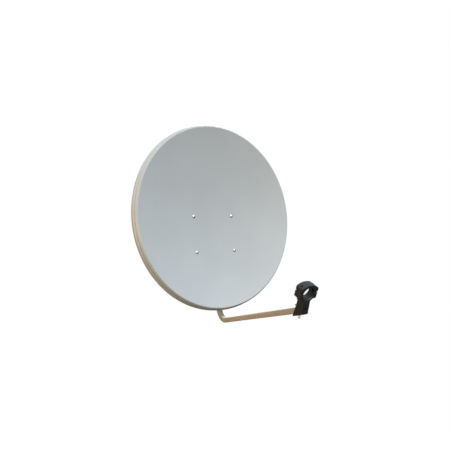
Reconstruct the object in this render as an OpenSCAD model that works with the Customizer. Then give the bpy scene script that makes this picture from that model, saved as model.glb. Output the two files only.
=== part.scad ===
// Offset satellite dish: a pressed reflector on a steel bracket, a bent feed arm that ends in a
// two-part LNB holder, and an elevation mount that clamps to a mast.
// Millimetres, Z up. The mast stands on the Z axis, the dish looks along -Y, and X is to the
// right as seen from in front.

/* [Reflector] */
// Width of the reflector across its front lip
dish_w = 740; // [560:1:940]
// Angle between the beam and the reflector's face, which sets how much taller than wide it is
offset_angle = 22.3; // [18:0.1:26]
// Focal length of the paraboloid
focal_length = 450; // [380:1:560]
// Thickness of the pressed steel sheet
sheet_t = 0.8; // [0.6:0.1:2]
// Radius of the rolled front lip
lip_r = 4; // [2.5:0.5:8]
// Depth of the rim behind the front lip
rim_depth = 41; // [25:1:60]
// How far the rim flares outwards from lip to rear edge
rim_flare = 16.5; // [10:0.5:26]

/* [Aim] */
// Elevation of the beam as it stands
beam_elevation = 30.8; // [20:0.1:50]
// Lowest beam elevation that the slots allow
elevation_low = 16; // [10:1:20]
// Highest beam elevation that the slots allow
elevation_high = 56; // [50:1:60]

/* [Reflector bolts] */
// Spacing of the reflector bolts across the dish
bolt_across = 192; // [160:1:230]
// Spacing of the reflector bolts up the dish
bolt_up = 160; // [130:1:200]
// How far the bolt pattern's middle lies below the reflector's middle
bolt_drop = 76.5; // [50:0.5:100]
// Thread of the small bolts
small_d = 6; // [5:0.5:6]
// Thread of the large bolts
large_d = 8; // [8:0.5:10]
// Radial play of a bolt in its hole
hole_play = 0.25; // [0.15:0.05:0.4]
// Radial play between a bolt and its nut
thread_play = 0.05; // [0.03:0.01:0.08]

/* [Back bracket] */
// Thickness of the back bracket's plate and cheeks
bracket_t = 2.5; // [2:0.5:4]
// Free space between the two cheeks
cheek_gap = 60; // [50:1:76]
// Space between the reflector's deepest point and the plate
plate_gap = 1.5; // [1:0.5:4]
// Distance from plate edge to bolt centre
plate_margin = 17; // [16:1:24]
// Outer diameter of the pressed cups that reach the reflector
cup_d = 30; // [26:1:34]
// Distance of the elevation pivot behind the bolt plane
pivot_back = 95; // [90:1:110]
// Distance of the elevation pivot below the bolt pattern's middle
pivot_drop = 10; // [0:1:20]
// Radius of the elevation slots about the pivot
slot_r = 62; // [58:1:66]

/* [Feed arm] */
// Side of the square tube
arm_size = 20; // [18:1:25]
// Wall of the square tube
arm_wall = 1.5; // [1:0.25:2]
// Radius of the bend on the tube's centre line
arm_bend_r = 50; // [40:1:60]
// Distance of the bend's corner below the front lip
arm_drop = 63.5; // [55:0.5:80]
// Distance of the bend's corner behind the front lip
arm_back = 45; // [40:1:55]
// Angle of the front part above the face's normal
arm_rise = 9.2; // [5:0.1:12]
// Angle of the rear part to the face
arm_lean = 28; // [24:0.5:32]
// Length from the bend's corner to the front end
arm_reach = 558; // [420:1:640]
// Length from the bend's corner to the rear end
arm_tail = 300; // [290:1:310]
// Spacing of the two bolts that hold the arm
arm_bolt_step = 40; // [32:1:44]
// Distance of the upper arm bolt from the arm's rear end
arm_bolt_edge = 16; // [14:1:20]

/* [LNB holder] */
// Diameter of the LNB neck that the collar grips
neck_d = 40; // [36:0.5:42]
// Radial play between collar and neck
neck_play = 0.1; // [0.05:0.01:0.15]
// Angle of the collar's axis above the face's normal
collar_pitch = 30; // [20:1:36]
// Length of the collar along the neck
collar_l = 30; // [24:1:40]
// Half width of the collar block
collar_side = 34; // [34:0.5:38]
// Height of the block's arched top above the collar's centre
collar_top = 31.5; // [30:0.5:36]
// Height of the arch's ends above the collar's centre
collar_shoulder = 21.5; // [20:0.5:24]
// Depth of the block's flat underside below the collar's centre
collar_foot = 18; // [16:0.5:20]
// Chamfer at each mouth of the collar
mouth_chamfer = 3.5; // [2:0.25:4]
// Distance of the collar's centre above the arm's axis
collar_up = 52.7; // [50:0.1:62]
// Distance of the collar's centre ahead of the arm's front end
collar_ahead = 30; // [22:1:34]
// Gap between the cap and the holder's half of the collar
collar_split = 3; // [2:0.5:4]
// Height of that gap's middle above the collar's centre
collar_split_up = 5.5; // [2:0.5:8]
// Length of the sleeve on the arm
sleeve_l = 50; // [44:1:60]
// Wall of the sleeve at its sides
sleeve_wall = 3.2; // [2.5:0.1:5]
// Wall of the sleeve above and below
sleeve_floor = 6.2; // [4:0.1:8]
// Play between the arm and the sleeve on each side
sleeve_play = 0.3; // [0.2:0.05:0.4]
// Thread of the collar screws
screw_d = 5; // [4:0.5:5]

/* [Mast mount] */
// Diameter of the mast
mast_d = 50; // [40:1:56]
// Play between the mast and the clamp shells
mast_play = 0.1; // [0.05:0.01:0.15]
// Thickness of the mast bracket and the jaw
mount_t = 3; // [2.5:0.5:4]
// Height of the clamp shells on the mast
clamp_h = 80; // [60:1:84]
// Gap between the wings of the two shells
clamp_gap = 16; // [10:1:20]
// Spacing of the clamp bolts
clamp_bolts_across = 96; // [94:1:110]
// Spacing of the upper and lower clamp bolts
clamp_bolts_up = 50; // [40:1:52]
// Distance from the mast's axis to the elevation pivot
pivot_reach = 90; // [88:1:110]
// Height of the elevation pivot above the clamp's middle
pivot_up = 30; // [20:1:34]
// Space between a moving cheek and a fixed one
cheek_play = 0.3; // [0.3:0.05:0.6]

/* [Hidden] */
round_fn = 64;
eps = 0.01;

// Colours
powder_grey = [0.72, 0.74, 0.76];
powder_beige = [0.66, 0.63, 0.57];
zinc = [0.78, 0.78, 0.76];
black_plastic = [0.12, 0.13, 0.15];

// ---- Where things are ----

dish_a = dish_w / 2;
dish_b = dish_a / cos(offset_angle);
dish_tilt = beam_elevation - offset_angle;
axis_to_dish = 2 * focal_length * tan(offset_angle);

// How far the reflector lies behind its rim plane, along the beam, at (x, y) across the beam
function cap_depth(x, y) = (dish_a * dish_a - x * x - y * y) / (4 * focal_length);

// Point of the reflector's front surface in the dish frame, for (x, y) across the beam
function dish_point(x, y) =
    let (d = cap_depth(x, y))
    [x, d * cos(offset_angle), y / cos(offset_angle) - d * sin(offset_angle)];

// Direction out of the reflector's front surface there
function dish_normal(x, y) =
    let (
        r = axis_to_dish + y,
        v = [
            -x,
            -r * sin(offset_angle) - 2 * focal_length * cos(offset_angle),
            2 * focal_length * sin(offset_angle) - r * cos(offset_angle)
        ]
    ) v / norm(v);

// Place across the beam of the surface point that is z up the dish's face
function across_beam(x, z) =
    let (
        c = cos(offset_angle),
        k = sin(offset_angle) / (4 * focal_length),
        rest = k * (dish_a * dish_a - x * x) + z
    ) (sqrt(1 / (c * c) + 4 * k * rest) - 1 / c) / (2 * k);

row_y = [for (side = [1, -1]) across_beam(bolt_across / 2, side * bolt_up / 2 - bolt_drop)];
row_point = [for (y = row_y) dish_point(bolt_across / 2, y)];
seat = (row_point[0] + row_point[1]) / 2;
seat_lean = atan((row_point[0].y - row_point[1].y) / (row_point[0].z - row_point[1].z));
deepest = dish_point(0, (row_y[0] + row_y[1]) / 2) - seat;
plate_front = deepest.y * cos(seat_lean) - deepest.z * sin(seat_lean) + sheet_t + plate_gap;
plate_rear = plate_front + bracket_t;

// The back bracket's frame: Y points back from the bolt plane and Z up along it
bracket_tilt = dish_tilt + seat_lean;
pivot = [pivot_back, -pivot_drop];

module in_bracket() {
    translate([0, -pivot_reach, pivot_up])
        rotate([-bracket_tilt, 0, 0])
            translate([0, -pivot.x, -pivot.y]) children();
}

// The dish frame: the origin is the middle of the front lip, Y points back and Z up the face
module in_dish() {
    in_bracket() rotate([seat_lean, 0, 0]) translate([0, -seat.y, -seat.z]) children();
}

// The arm frame: X runs forwards from the bend's corner, Y up and Z to the left
arm_turn = 90 - arm_lean + arm_rise;
arm_corner = [0, arm_back, -dish_b - arm_drop];

module in_arm() {
    in_dish() translate(arm_corner)
        multmatrix([
            [0, 0, -1, 0],
            [-cos(arm_rise), sin(arm_rise), 0, 0],
            [sin(arm_rise), cos(arm_rise), 0, 0],
            [0, 0, 0, 1]
        ]) children();
}

// The rear part of the arm: X runs up it from the bend's corner
module in_arm_tail() {
    in_arm() rotate([0, 0, 180 - arm_turn]) children();
}

// The collar looks up at the reflector: X runs away from the dish, Y up in the collar's face
collar_at = [arm_reach + collar_ahead, collar_up];
collar_turn = arm_rise + collar_pitch;

module in_collar() {
    in_arm() translate([collar_at.x, collar_at.y, 0]) rotate([0, 0, -collar_turn]) children();
}

function collar_to_arm(p) = [
    collar_at.x + p.x * cos(collar_turn) + p.y * sin(collar_turn),
    collar_at.y - p.x * sin(collar_turn) + p.y * cos(collar_turn)
];

// Children once at each reflector bolt, with Z out of the reflector's front surface
module at_reflector_bolts() {
    in_dish() for (side = [-1, 1], y = row_y) {
        p = dish_point(side * bolt_across / 2, y);
        n = dish_normal(side * bolt_across / 2, y);
        translate(p) rotate([0, 0, atan2(n.x, -n.y)]) rotate([90 - asin(n.z), 0, 0]) children();
    }
}

// ---- Fasteners, each with its head above Z = 0 and its shank below ----

small_head_d = 2.5 * small_d;
small_head_h = 0.6 * small_d;
large_head_d = 2.2 * large_d;
large_head_h = 0.55 * large_d;
small_nut_af = 1.65 * small_d;
small_nut_h = 0.8 * small_d;
large_nut_af = 1.6 * large_d;
large_nut_h = 0.8 * large_d;
small_washer = [small_d + 0.4, 2 * small_d, 1.6];
large_washer = [large_d + 0.4, 2 * large_d, 1.6];
thread_out = 4;

module dome(d, h) {
    r = (h * h + d * d / 4) / (2 * h);
    intersection() {
        translate([0, 0, h - r]) sphere(r = r, $fn = round_fn);
        cylinder(d = d, h = h, $fn = round_fn);
    }
}

module carriage_bolt(d, length, head_d, head_h, neck) {
    dome(head_d, head_h);
    translate([0, 0, -length]) cylinder(d = d, h = length + eps, $fn = round_fn);
    translate([-d / 2, -d / 2, -neck]) cube([d, d, neck + eps]);
}

module hex_bolt(d, length, af, head_h) {
    cylinder(d = af / cos(30), h = head_h, $fn = 6);
    translate([0, 0, -length]) cylinder(d = d, h = length + eps, $fn = round_fn);
}

module ring(inner_d, outer_d, h) {
    difference() {
        cylinder(d = outer_d, h = h, $fn = round_fn);
        translate([0, 0, -1]) cylinder(d = inner_d, h = h + 2, $fn = round_fn);
    }
}

module washer(size) {
    ring(size[0], size[1], size[2]);
}

module hex_nut(d, af, h) {
    difference() {
        cylinder(d = af / cos(30), h = h, $fn = 6);
        translate([0, 0, -1]) cylinder(d = d + 2 * thread_play, h = h + 2, $fn = round_fn);
    }
}

module hole(d, length) {
    translate([0, 0, -length / 2]) cylinder(d = d, h = length, $fn = round_fn);
}

// Children's Z turned to point along +X or, with side = -1, along -X
module facing_x(side = 1) {
    rotate([0, side * 90, 0]) children();
}

// Outline with each corner rounded to radius r
function rounded(points, r, steps = 5) = [
    for (i = [0 : len(points) - 1])
        let (
            p = points[i],
            a = points[(i + len(points) - 1) % len(points)] - p,
            b = points[(i + 1) % len(points)] - p,
            ua = a / norm(a),
            ub = b / norm(b),
            half = acos(ua * ub) / 2,
            mid = p + (ua + ub) / norm(ua + ub) * r / sin(half),
            from = p + ua * r / tan(half) - mid,
            to = p + ub * r / tan(half) - mid,
            sweep = 180 - 2 * half,
            turn = (from.x * to.y - from.y * to.x) > 0 ? 1 : -1
        )
        for (k = [0 : steps])
            let (t = turn * sweep * k / steps)
            mid + [from.x * cos(t) - from.y * sin(t), from.x * sin(t) + from.y * cos(t)]
];

// ---- Reflector ----

cap_rings = 24;
lip_steps = 4;
rim_steps = 72;
small_hole_d = small_d + 2 * hole_play;
large_hole_d = large_d + 2 * hole_play;
neck_side = small_d * sqrt(2) + 2 * hole_play;

// Point out from the front lip by w and behind it by k, at angle t round the rim
function rim_point(t, w, k) = [(dish_a + w) * cos(t), k, (dish_b + w) * sin(t)];

// One round of points for each ring of the sheet, from the front's middle over the rim and back
function reflector_round(front, i, t) =
    let (
        r = dish_a * i / cap_rings,
        x = r * cos(t),
        y = r * sin(t)
    ) front ? dish_point(x, y) : dish_point(x, y) - sheet_t * dish_normal(x, y);

function lip_point(t, radius, i) =
    let (
        start = acos(-dish_normal(dish_a * cos(t), dish_a * sin(t)).y),
        flare = atan(rim_flare / rim_depth),
        a = start - (start + 90 - flare) * i / lip_steps
    ) rim_point(t, lip_r * sin(start) - radius * sin(a), lip_r * cos(start) - radius * cos(a));

reflector_rounds = concat(
    [for (i = [1 : cap_rings]) [for (k = [1 : rim_steps])
        reflector_round(true, i, 360 * k / rim_steps)]],
    [for (i = [1 : lip_steps]) [for (k = [1 : rim_steps])
        lip_point(360 * k / rim_steps, lip_r, i)]],
    [[for (k = [1 : rim_steps]) rim_point(360 * k / rim_steps, rim_flare, rim_depth)]],
    [[for (k = [1 : rim_steps])
        rim_point(360 * k / rim_steps, rim_flare - 1.2 * sheet_t, rim_depth)]],
    [for (i = [lip_steps : -1 : 1]) [for (k = [1 : rim_steps])
        lip_point(360 * k / rim_steps, lip_r - sheet_t, i)]],
    [for (i = [cap_rings : -1 : 1]) [for (k = [1 : rim_steps])
        reflector_round(false, i, 360 * k / rim_steps)]]
);

module reflector_sheet() {
    rounds = len(reflector_rounds);
    points = concat(
        [for (one = reflector_rounds, p = one) p],
        [reflector_round(true, 0, 0), reflector_round(false, 0, 0)]
    );
    front_pole = rounds * rim_steps;
    faces = concat(
        [for (i = [0 : rounds - 2], k = [0 : rim_steps - 1], half = [0, 1])
            let (
                a = i * rim_steps + k,
                b = i * rim_steps + (k + 1) % rim_steps,
                c = a + rim_steps,
                d = b + rim_steps
            ) half == 0 ? [a, b, d] : [a, d, c]],
        [for (k = [0 : rim_steps - 1]) [front_pole, (k + 1) % rim_steps, k]],
        [for (k = [0 : rim_steps - 1])
            let (last = (rounds - 1) * rim_steps)
            [front_pole + 1, last + k, last + (k + 1) % rim_steps]]
    );
    polyhedron(points, faces, convexity = 6);
}

module reflector() {
    color(powder_grey) difference() {
        in_dish() reflector_sheet();
        at_reflector_bolts() hole(neck_side, 20);
    }
}

// From the reflector's front surface back through sheet, cup floor, washer and nut
paint_t = 0.1;
cup_floor_rear = sheet_t + bracket_t;
reflector_bolt_l = cup_floor_rear + small_washer[2] + small_nut_h + thread_out;

module reflector_bolts() {
    color(zinc) at_reflector_bolts() translate([0, 0, paint_t])
        carriage_bolt(small_d, reflector_bolt_l, small_head_d, small_head_h, sheet_t);
}

module reflector_washers() {
    color(zinc) at_reflector_bolts()
        translate([0, 0, -cup_floor_rear - small_washer[2]]) washer(small_washer);
}

module reflector_nuts() {
    color(zinc) at_reflector_bolts()
        translate([0, 0, -cup_floor_rear - small_washer[2] - small_nut_h])
            hex_nut(small_d, small_nut_af, small_nut_h);
}

// ---- Back bracket ----

plate_w = bolt_across + 2 * plate_margin;
plate_h = bolt_up + 2 * plate_margin;
plate_corner_r = 14;
plate_lip = 12;
plate_window_d = 44;
cheek_corner_r = 10;
cheek_edge = 14;
cheek_top = 40;
cheek_reach = plate_front + 24;
slot_low = elevation_low - beam_elevation + bracket_tilt;
slot_high = elevation_high - beam_elevation + bracket_tilt;
arm_bolt_at = [arm_tail - arm_bolt_edge, arm_tail - arm_bolt_edge - arm_bolt_step];

// The arm's rear part in the bracket frame: where its corner is and which way it runs up
arm_corner_in_bracket = let (v = [arm_corner.y - seat.y, arm_corner.z - seat.z]) [
    v.x * cos(seat_lean) - v.y * sin(seat_lean),
    v.x * sin(seat_lean) + v.y * cos(seat_lean)
];
tail_angle = arm_lean - seat_lean;
function on_tail(along, out) = arm_corner_in_bracket + [
    along * sin(tail_angle) + out * cos(tail_angle),
    along * cos(tail_angle) - out * sin(tail_angle)
];
function on_slot(angle, radius) = pivot + radius * [sin(angle), -cos(angle)];

tail_low = arm_bolt_at[1] - cheek_edge;
tail_side = arm_size / 2 + 4;
cheek_outline = [
    [plate_front + 1, plate_h / 2 - plate_corner_r],
    [cheek_reach, plate_h / 2 - plate_corner_r],
    [pivot.x + 0.6 * cheek_edge, pivot.y + 1.5 * cheek_edge],
    on_slot(slot_high + 14, slot_r + 2),
    on_tail(arm_tail + 2, tail_side),
    on_tail(tail_low, tail_side),
    on_tail(tail_low, -tail_side),
    [plate_front + 1, -plate_h / 2 + plate_corner_r]
];

// A curved slot about the pivot, with round ends, as one outline
slot_steps = 24;
cap_steps = 10;
module slot_outline(radius, width, from, to) {
    half = width / 2;
    function end_cap(angle, start) = [
        for (i = [1 : cap_steps - 1])
            let (t = angle + start + 180 * i / cap_steps)
            on_slot(angle, radius) + half * [sin(t), -cos(t)]
    ];
    polygon(concat(
        [for (i = [0 : slot_steps]) on_slot(from + (to - from) * i / slot_steps, radius + half)],
        end_cap(to, 0),
        [for (i = [slot_steps : -1 : 0]) on_slot(from + (to - from) * i / slot_steps, radius - half)],
        end_cap(from, 180)
    ));
}

// A flat outline in the bracket's Y and Z, standing from x by thickness t
module upright(x, t) {
    translate([x, 0, 0]) rotate([90, 0, 90]) linear_extrude(t) children();
}

module cheek_2d() {
    difference() {
        polygon(rounded(cheek_outline, cheek_corner_r));
        translate(pivot) circle(d = large_hole_d, $fn = round_fn);
        slot_outline(slot_r, large_hole_d, slot_low, slot_high);
        for (s = arm_bolt_at) translate(on_tail(s, 0)) circle(d = small_hole_d, $fn = round_fn);
    }
}

module plate_2d() {
    w = plate_w / 2;
    h = plate_h / 2;
    difference() {
        polygon(rounded([[-w, -h], [w, -h], [w, h], [-w, h]], plate_corner_r));
        for (side = [-1, 1]) translate([side * (w + cheek_gap / 2) / 2, 0])
            circle(d = plate_window_d, $fn = round_fn);
        circle(d = plate_window_d, $fn = round_fn);
    }
}

// The cups reach from the plate to the reflector's rear face, square to it
module cups() {
    intersection() {
        at_reflector_bolts() translate([0, 0, -sheet_t - 2 * plate_rear])
            cylinder(d = cup_d, h = 2 * plate_rear, $fn = round_fn);
        in_bracket() translate([-plate_w, -plate_rear, -plate_h])
            cube([2 * plate_w, 2 * plate_rear - bracket_t / 2, 2 * plate_h]);
    }
}

module back_bracket() {
    color(zinc) difference() {
        union() {
            in_bracket() {
                translate([0, plate_rear, 0]) rotate([90, 0, 0]) linear_extrude(bracket_t) plate_2d();
                for (side = [-1, 1]) {
                    upright(side * (cheek_gap + bracket_t) / 2 - bracket_t / 2, bracket_t) cheek_2d();
                    translate([
                        side * (plate_w - bracket_t) / 2 - bracket_t / 2,
                        plate_front,
                        -plate_h / 2 + plate_corner_r
                    ]) cube([bracket_t, plate_lip, plate_h - 2 * plate_corner_r]);
                }
            }
            cups();
        }
        at_reflector_bolts() {
            translate([0, 0, -cup_floor_rear - 3 * plate_rear])
                cylinder(d = cup_d - 2 * bracket_t, h = 3 * plate_rear, $fn = round_fn);
            hole(small_hole_d, 20);
        }
    }
}

// ---- Feed arm ----

arm_corner_r = 3;
arm_setback = arm_bend_r * tan(arm_turn / 2);
holder_bolt_at = arm_reach - 29;

module soft_square(side, r) {
    half = side / 2;
    polygon(rounded([[-half, -half], [half, -half], [half, half], [-half, half]], r, 4));
}

// The arm's centre line from its rear end through the bend to its front end: each station is a
// point and the way the tube runs there
bend_steps = 20;
arm_path = concat(
    [[arm_tail * [-cos(arm_turn), sin(arm_turn)], -arm_turn]],
    [for (i = [0 : bend_steps])
        let (turn = -arm_turn * (1 - i / bend_steps))
        [[arm_setback, arm_bend_r] + arm_bend_r * [sin(turn), -cos(turn)], turn]],
    [[[arm_reach, 0], 0]]
);

function tube_ring(side, r) = let (half = side / 2)
    rounded([[-half, -half], [half, -half], [half, half], [-half, half]], r, 6);

// A square tube bent along the path
module bent_tube(side, wall, r) {
    outer = tube_ring(side, r);
    inner = tube_ring(side - 2 * wall, r - wall / 2);
    n = len(outer);
    last = len(arm_path) - 1;
    function at(i, j, ring) = (2 * i + ring) * n + j % n;
    points = [
        for (stop = arm_path, ring = [outer, inner], p = ring)
            [stop[0].x - p.x * sin(stop[1]), stop[0].y + p.x * cos(stop[1]), p.y]
    ];
    sides = [
        for (i = [0 : last - 1], j = [0 : n - 1]) each [
            [at(i, j, 0), at(i + 1, j, 0), at(i + 1, j + 1, 0), at(i, j + 1, 0)],
            [at(i, j, 1), at(i, j + 1, 1), at(i + 1, j + 1, 1), at(i + 1, j, 1)]
        ]
    ];
    ends = [
        for (j = [0 : n - 1]) each [
            [at(0, j, 0), at(0, j + 1, 0), at(0, j + 1, 1), at(0, j, 1)],
            [at(last, j, 0), at(last, j, 1), at(last, j + 1, 1), at(last, j + 1, 0)]
        ]
    ];
    polyhedron(points, concat(sides, ends));
}

module feed_arm() {
    color(powder_beige) difference() {
        in_arm() bent_tube(arm_size, arm_wall, arm_corner_r);
        in_arm_tail() for (s = arm_bolt_at) translate([s, 0, 0]) hole(small_hole_d, 2 * arm_size);
        in_arm() translate([holder_bolt_at, 0, 0]) rotate([90, 0, 0]) hole(small_hole_d, 2 * arm_size);
    }
}

plug_rim = 2;
plug_depth = 9;
plug_play = 0.15;

module arm_end_plug() {
    color(black_plastic) in_arm_tail() translate([arm_tail, 0, 0]) rotate([0, 90, 0]) {
        linear_extrude(plug_rim) soft_square(arm_size, arm_corner_r);
        translate([0, 0, -plug_depth]) linear_extrude(plug_depth + eps)
            soft_square(arm_size - 2 * arm_wall - 2 * plug_play, arm_corner_r - arm_wall / 2);
    }
}

cheek_face = cheek_gap / 2 + bracket_t;
arm_bolt_l = 2 * cheek_face + small_washer[2] + small_nut_h + thread_out;

// Children at each arm bolt, with Z along +X
module at_arm_bolts() {
    in_arm_tail() for (s = arm_bolt_at) translate([s, 0, 0]) rotate([180, 0, 0]) children();
}

module arm_bolts() {
    color(zinc) at_arm_bolts() translate([0, 0, cheek_face])
        hex_bolt(small_d, arm_bolt_l, small_nut_af, 0.7 * small_d);
}

module arm_spacers() {
    l = (cheek_gap - arm_size) / 2;
    color(zinc) at_arm_bolts() for (z = [-cheek_gap / 2, arm_size / 2])
        translate([0, 0, z]) ring(small_hole_d, 2 * small_d, l);
}

module arm_washers() {
    color(zinc) at_arm_bolts() translate([0, 0, -cheek_face - small_washer[2]]) washer(small_washer);
}

module arm_nuts() {
    color(zinc) at_arm_bolts() translate([0, 0, -cheek_face - small_washer[2] - small_nut_h])
        hex_nut(small_d, small_nut_af, small_nut_h);
}

// ---- LNB holder ----

sleeve_front = arm_reach + 3;
sleeve_rear = sleeve_front - sleeve_l;
sleeve_half = arm_size / 2 + sleeve_play + sleeve_floor;
sleeve_top = sleeve_half + 3;
holder_w = arm_size + 2 * (sleeve_play + sleeve_wall);
front_hole_d = 8;
neck_r = neck_d / 2 + neck_play;
post_depth = 24;
screw_at = (neck_r + collar_side) / 2 + 0.5;
screw_seat = collar_shoulder - 5;
screw_head_d = 1.6 * screw_d / cos(30);
split_low = collar_split_up - collar_split / 2;
split_high = collar_split_up + collar_split / 2;

// A flat outline in the collar's face, standing along its axis by length l about the middle
module along_collar(l) {
    rotate([0, 90, 0]) translate([0, 0, -l / 2]) linear_extrude(l) children();
}

module collar_block_2d() {
    side = collar_side;
    polygon(rounded([
        [side, -collar_foot + 3], [side, collar_shoulder - 3], [0.94 * side, collar_shoulder],
        [0.58 * side, collar_top - 3.2], [0.24 * side, collar_top],
        [-0.24 * side, collar_top], [-0.58 * side, collar_top - 3.2],
        [-0.94 * side, collar_shoulder], [-side, collar_shoulder - 3], [-side, -collar_foot + 3],
        [-side + 2, -collar_foot], [-screw_at + 5.5, -collar_foot], [-holder_w / 2, -collar_foot - 9],
        [holder_w / 2, -collar_foot - 9], [screw_at - 5.5, -collar_foot], [side - 2, -collar_foot]
    ], 0.8));
}

// The part of the collar block between two heights, with no bore yet
module collar_half(from, to) {
    intersection() {
        along_collar(collar_l) collar_block_2d();
        along_collar(2 * collar_l) translate([-2 * collar_side, from])
            square([4 * collar_side, to - from]);
    }
}

// The bore for the neck with its chamfered mouths, and the screw holes
module collar_bores() {
    along_collar(2 * collar_l) circle(r = neck_r, $fn = 96);
    for (end = [-1, 1]) rotate([0, 90 * end, 0]) translate([0, 0, collar_l / 2 - mouth_chamfer])
        cylinder(r1 = neck_r, r2 = neck_r + mouth_chamfer + 1, h = mouth_chamfer + 1, $fn = 96);
    at_cap_screws() hole(screw_d + 2 * hole_play, 4 * collar_side);
}

// Children at each cap screw in the collar frame, with Z up
module at_cap_screws() {
    for (side = [-1, 1]) translate([0, 0, side * screw_at]) rotate([-90, 0, 0]) children();
}

module lnb_holder() {
    side_outline = [
        [sleeve_rear, -sleeve_half],
        [sleeve_front - 2, -sleeve_half],
        [sleeve_front, -sleeve_half + 3],
        collar_to_arm([collar_l / 2, -post_depth]),
        collar_to_arm([-collar_l / 2, -post_depth]),
        [sleeve_rear + 32, sleeve_top]
    ];
    pocket_floor = sleeve_half;
    color(black_plastic) difference() {
        union() {
            in_arm() translate([0, 0, -holder_w / 2]) linear_extrude(holder_w)
                polygon(rounded(side_outline, 1.5));
            in_collar() collar_half(-2 * collar_side, split_low);
        }
        in_arm() {
            // The arm's socket, and a small hole from its end to the front
            translate([sleeve_rear - 1, 0, 0]) rotate([90, 0, 90])
                linear_extrude(arm_reach + 1 - sleeve_rear)
                    soft_square(arm_size + 2 * sleeve_play, arm_corner_r);
            rotate([0, 90, 0]) cylinder(d = front_hole_d, h = 2 * arm_reach, $fn = round_fn);
            translate([holder_bolt_at, 0, 0]) rotate([90, 0, 0]) hole(small_hole_d, 2 * sleeve_half + 2);
            // The pocket for the bolt's head, open at the rear
            translate([sleeve_rear, pocket_floor, -pocket_w / 2])
                cube([holder_bolt_at + pocket_w / 2 - sleeve_rear, pocket_h, pocket_w]);
        }
        in_collar() {
            collar_bores();
            along_collar(2 * collar_l) translate([-2 * collar_side, split_low])
                square([4 * collar_side, collar_side]);
        }
    }
}

pocket_w = small_nut_af / cos(30) + 3;
pocket_h = 8;

module lnb_cap() {
    color(black_plastic) in_collar() difference() {
        collar_half(split_high, 2 * collar_side);
        collar_bores();
        at_cap_screws() translate([0, 0, screw_seat])
            cylinder(d = screw_head_d + 1, h = 30, $fn = round_fn);
    }
}

cap_screw_l = screw_seat + collar_foot + 0.8 * screw_d + 3;

module cap_screws() {
    color(zinc) in_collar() at_cap_screws() translate([0, 0, screw_seat])
        hex_bolt(screw_d, cap_screw_l, 1.6 * screw_d, 0.6 * screw_d);
}

module cap_nuts() {
    color(zinc) in_collar() at_cap_screws() translate([0, 0, -collar_foot - 0.8 * screw_d])
        hex_nut(screw_d, 1.6 * screw_d, 0.8 * screw_d);
}

// Children at the holder's bolt, with Z up from the arm
module at_holder_bolt() {
    in_arm() translate([holder_bolt_at, 0, 0]) rotate([-90, 0, 0]) children();
}

holder_bolt_l = 2 * sleeve_half + small_washer[2] + small_nut_h + thread_out;

module holder_bolt() {
    color(zinc) at_holder_bolt() translate([0, 0, sleeve_half])
        hex_bolt(small_d, holder_bolt_l, small_nut_af, 0.7 * small_d);
}

module holder_washer() {
    color(zinc) at_holder_bolt() translate([0, 0, -sleeve_half - small_washer[2]]) washer(small_washer);
}

module holder_nut() {
    color(zinc) at_holder_bolt() translate([0, 0, -sleeve_half - small_washer[2] - small_nut_h])
        hex_nut(small_d, small_nut_af, small_nut_h);
}

// ---- Mast bracket ----

shell_r = mast_d / 2 + mast_play;
shell_out = shell_r + mount_t;
wing_x = clamp_bolts_across / 2 + 13;
fixed_cheek_x = cheek_face + cheek_play;
fixed_cheek_edge = 16;
fixed_cheek_top = 50;
fixed_cheek_low = -48;
lock_at = [-pivot_reach, pivot_up - slot_r];

// Half shell round the mast with flat wings; it wraps the mast's front side
module mast_shell() {
    translate([0, 0, -clamp_h / 2]) linear_extrude(clamp_h) difference() {
        union() {
            intersection() {
                circle(r = shell_out, $fn = 96);
                translate([-shell_out, -shell_out]) square([2 * shell_out, shell_out - clamp_gap / 2]);
            }
            for (side = [-1, 1])
                translate([side * (wing_x + shell_r) / 2, -clamp_gap / 2 - mount_t / 2])
                    square([wing_x - shell_r, mount_t], center = true);
        }
        circle(r = shell_r, $fn = 96);
    }
}

// Children at each clamp bolt, with Z pointing back
module at_clamp_bolts() {
    for (x = [-1, 1], z = [-1, 1])
        translate([x * clamp_bolts_across / 2, 0, z * clamp_bolts_up / 2]) rotate([-90, 0, 0]) children();
}

fixed_cheek_outline = [
    [-clamp_gap / 2 - mount_t / 2, fixed_cheek_low + 8],
    [-clamp_gap / 2 - mount_t / 2, fixed_cheek_top - 8],
    [-pivot_reach + fixed_cheek_edge, fixed_cheek_top],
    [-pivot_reach - fixed_cheek_edge, fixed_cheek_top],
    [-pivot_reach - fixed_cheek_edge, fixed_cheek_low],
    [-pivot_reach + fixed_cheek_edge, fixed_cheek_low]
];

module mast_bracket() {
    color(zinc) difference() {
        union() {
            mast_shell();
            for (side = [-1, 1]) upright(side * (fixed_cheek_x + mount_t / 2) - mount_t / 2, mount_t)
                difference() {
                    polygon(rounded(fixed_cheek_outline, 7));
                    translate([-pivot_reach, pivot_up]) circle(d = large_hole_d, $fn = round_fn);
                    translate(lock_at) circle(d = large_hole_d, $fn = round_fn);
                }
        }
        at_clamp_bolts() hole(large_hole_d, 60);
    }
}

fixed_face = fixed_cheek_x + mount_t;
pivot_bolt_l = 2 * fixed_face + large_washer[2] + large_nut_h + thread_out;

// Children at the elevation pivot, with Z along +X
module at_pivot() {
    translate([0, -pivot_reach, pivot_up]) facing_x() children();
}

module pivot_bolt() {
    color(zinc) at_pivot() translate([0, 0, fixed_face])
        hex_bolt(large_d, pivot_bolt_l, large_nut_af, 0.65 * large_d);
}

module pivot_sleeve() {
    color(zinc) at_pivot() translate([0, 0, -cheek_gap / 2]) ring(large_hole_d, 1.6 * large_d, cheek_gap);
}

module pivot_washer() {
    color(zinc) at_pivot() translate([0, 0, -fixed_face - large_washer[2]]) washer(large_washer);
}

module pivot_nut() {
    color(zinc) at_pivot() translate([0, 0, -fixed_face - large_washer[2] - large_nut_h])
        hex_nut(large_d, large_nut_af, large_nut_h);
}

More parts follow.
